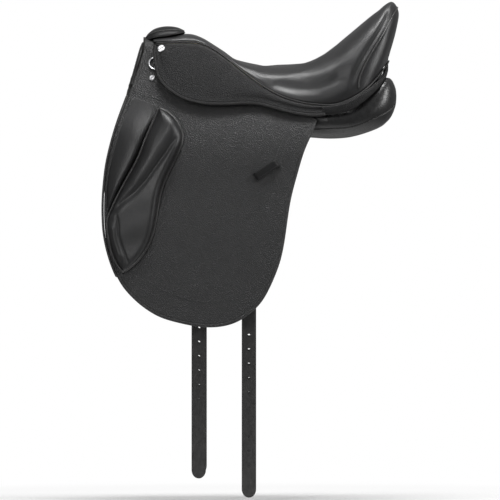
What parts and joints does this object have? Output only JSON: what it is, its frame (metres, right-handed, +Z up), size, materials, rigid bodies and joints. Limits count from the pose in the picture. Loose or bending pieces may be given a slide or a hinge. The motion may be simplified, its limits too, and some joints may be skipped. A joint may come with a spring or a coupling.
{
  "type": "english saddle",
  "caption": "English dressage riding saddle in black leather: deep padded seat, flocked panels, long flaps with outside knee blocks, small skirts, long punched girth billets.",
  "frame": {"origin": "on the centre plane of the saddle, midway along it, at the level where the rear of the panels rests on the horse", "axes": "+X towards the cantle (rear), -X towards the pommel, +Y to the right-hand (off) side, +Z up"},
  "size_m": [0.5617, 0.3322, 0.9309],
  "materials": {
    "oak_beech_tree": "laminated beech, varnished",
    "spring_steel": "satin",
    "nickel": "polished nickel plate",
    "webbing": "woven",
    "foam": "open-cell foam",
    "wool_flock": "loose wool",
    "seat_leather": "smooth, semi-gloss",
    "panel_leather": "glossy",
    "flap_leather": "fine grain, semi-matte",
    "block_leather": "glossy, padded",
    "billet_leather": "firm strap leather, matte"
  },
  "bodies": {
    "saddle": {"tree_frame": "oak_beech_tree", "gullet_plate": "spring_steel", "spring_steel_left": "spring_steel", "spring_steel_right": "spring_steel", "seat_web_long": "webbing", "seat_web_cross": "webbing", "girth_web_front": "webbing", "girth_web_rear": "webbing", "seat_foam": "foam", "seat_cover": "seat_leather", "seat_welt": "flap_leather", "pommel_cap": "seat_leather", "pommel_facing": "seat_leather", "cantle_band": "flap_leather", "panel_left": "panel_leather", "panel_right": "panel_leather", "flock_left": "wool_flock", "flock_right": "wool_flock", "point_pocket_left": "flap_leather", "point_pocket_right": "flap_leather", "stirrup_bar_left": "nickel", "stirrup_bar_right": "nickel", "catch_pins": "nickel", "bar_rivets": "nickel", "flap_top_left": "flap_leather", "flap_top_right": "flap_leather", "skirt_top_left": "flap_leather", "skirt_top_right": "flap_leather", "sweat_flap_left": "flap_leather", "sweat_flap_right": "flap_leather", "skirt_screws": "nickel", "flap_screws": "nickel", "dee_staples": "nickel"},
    "flap_left": {"flap_left": "flap_leather", "flap_welt_left": "flap_leather", "knee_roll_left": "block_leather", "knee_block_cover_left": "block_leather", "knee_block_foam_left": "foam", "leather_keeper_left": "flap_leather"},
    "skirt_left": {"skirt_left": "flap_leather"},
    "billet_front_left": {"billet_front_left": "billet_leather"},
    "billet_rear_left": {"billet_rear_left": "billet_leather"},
    "bar_catch_left": {"bar_catch_left": "nickel"},
    "front_dee_left": {"front_dee_left": "nickel"},
    "flap_right": {"flap_right": "flap_leather", "flap_welt_right": "flap_leather", "knee_roll_right": "block_leather", "knee_block_cover_right": "block_leather", "knee_block_foam_right": "foam", "leather_keeper_right": "flap_leather"},
    "skirt_right": {"skirt_right": "flap_leather"},
    "billet_front_right": {"billet_front_right": "billet_leather"},
    "billet_rear_right": {"billet_rear_right": "billet_leather"},
    "bar_catch_right": {"bar_catch_right": "nickel"},
    "front_dee_right": {"front_dee_right": "nickel"}
  },
  "joints": [
    {"name": "flap_lift_left", "type": "hinge", "parent": "saddle", "child": "flap_left", "pos_m": [-0.0555, -0.11241, 0.04985], "axis": [-0.9642, 0.1706, 0.2032], "range_deg": [0, 70]},
    {"name": "flap_lift_right", "type": "hinge", "parent": "saddle", "child": "flap_right", "pos_m": [-0.0555, 0.11241, 0.04985], "axis": [0.9642, 0.1706, -0.2032], "range_deg": [0, 70]},
    {"name": "skirt_lift_left", "type": "hinge", "parent": "saddle", "child": "skirt_left", "pos_m": [-0.0442, -0.10855, 0.0956], "axis": [-0.9084, 0.2121, 0.3602], "range_deg": [0, 55]},
    {"name": "skirt_lift_right", "type": "hinge", "parent": "saddle", "child": "skirt_right", "pos_m": [-0.0442, 0.10855, 0.0956], "axis": [0.9084, 0.2121, -0.3602], "range_deg": [0, 55]},
    {"name": "billet_front_swing_left", "type": "hinge", "parent": "saddle", "child": "billet_front_left", "pos_m": [-0.096, -0.09182, 0.076], "axis": [0, 1, 0], "range_deg": [-5, 5]},
    {"name": "billet_front_swing_right", "type": "hinge", "parent": "saddle", "child": "billet_front_right", "pos_m": [-0.096, 0.09182, 0.076], "axis": [0, 1, 0], "range_deg": [-5, 5]},
    {"name": "billet_rear_swing_left", "type": "hinge", "parent": "saddle", "child": "billet_rear_left", "pos_m": [-0.002, -0.10169, 0.076], "axis": [0, 1, 0], "range_deg": [-5, 5]},
    {"name": "billet_rear_swing_right", "type": "hinge", "parent": "saddle", "child": "billet_rear_right", "pos_m": [-0.002, 0.10169, 0.076], "axis": [0, 1, 0], "range_deg": [-5, 5]},
    {"name": "bar_catch_turn_left", "type": "hinge", "parent": "saddle", "child": "bar_catch_left", "pos_m": [-0.1077, -0.09408, 0.1004], "axis": [-0.0986, -0.9387, 0.3304], "range_deg": [0, 80]},
    {"name": "bar_catch_turn_right", "type": "hinge", "parent": "saddle", "child": "bar_catch_right", "pos_m": [-0.1077, 0.09408, 0.1004], "axis": [0.0986, -0.9387, -0.3304], "range_deg": [0, 80]},
    {"name": "front_dee_turn_left", "type": "hinge", "parent": "saddle", "child": "front_dee_left", "pos_m": [-0.17822, -0.07037, 0.14073], "axis": [0.0345, 0.3285, 0.9439], "range_deg": [0, 30]},
    {"name": "front_dee_turn_right", "type": "hinge", "parent": "saddle", "child": "front_dee_right", "pos_m": [-0.17822, 0.07037, 0.14073], "axis": [-0.0345, 0.3285, -0.9439], "range_deg": [0, 30]}
  ]
}
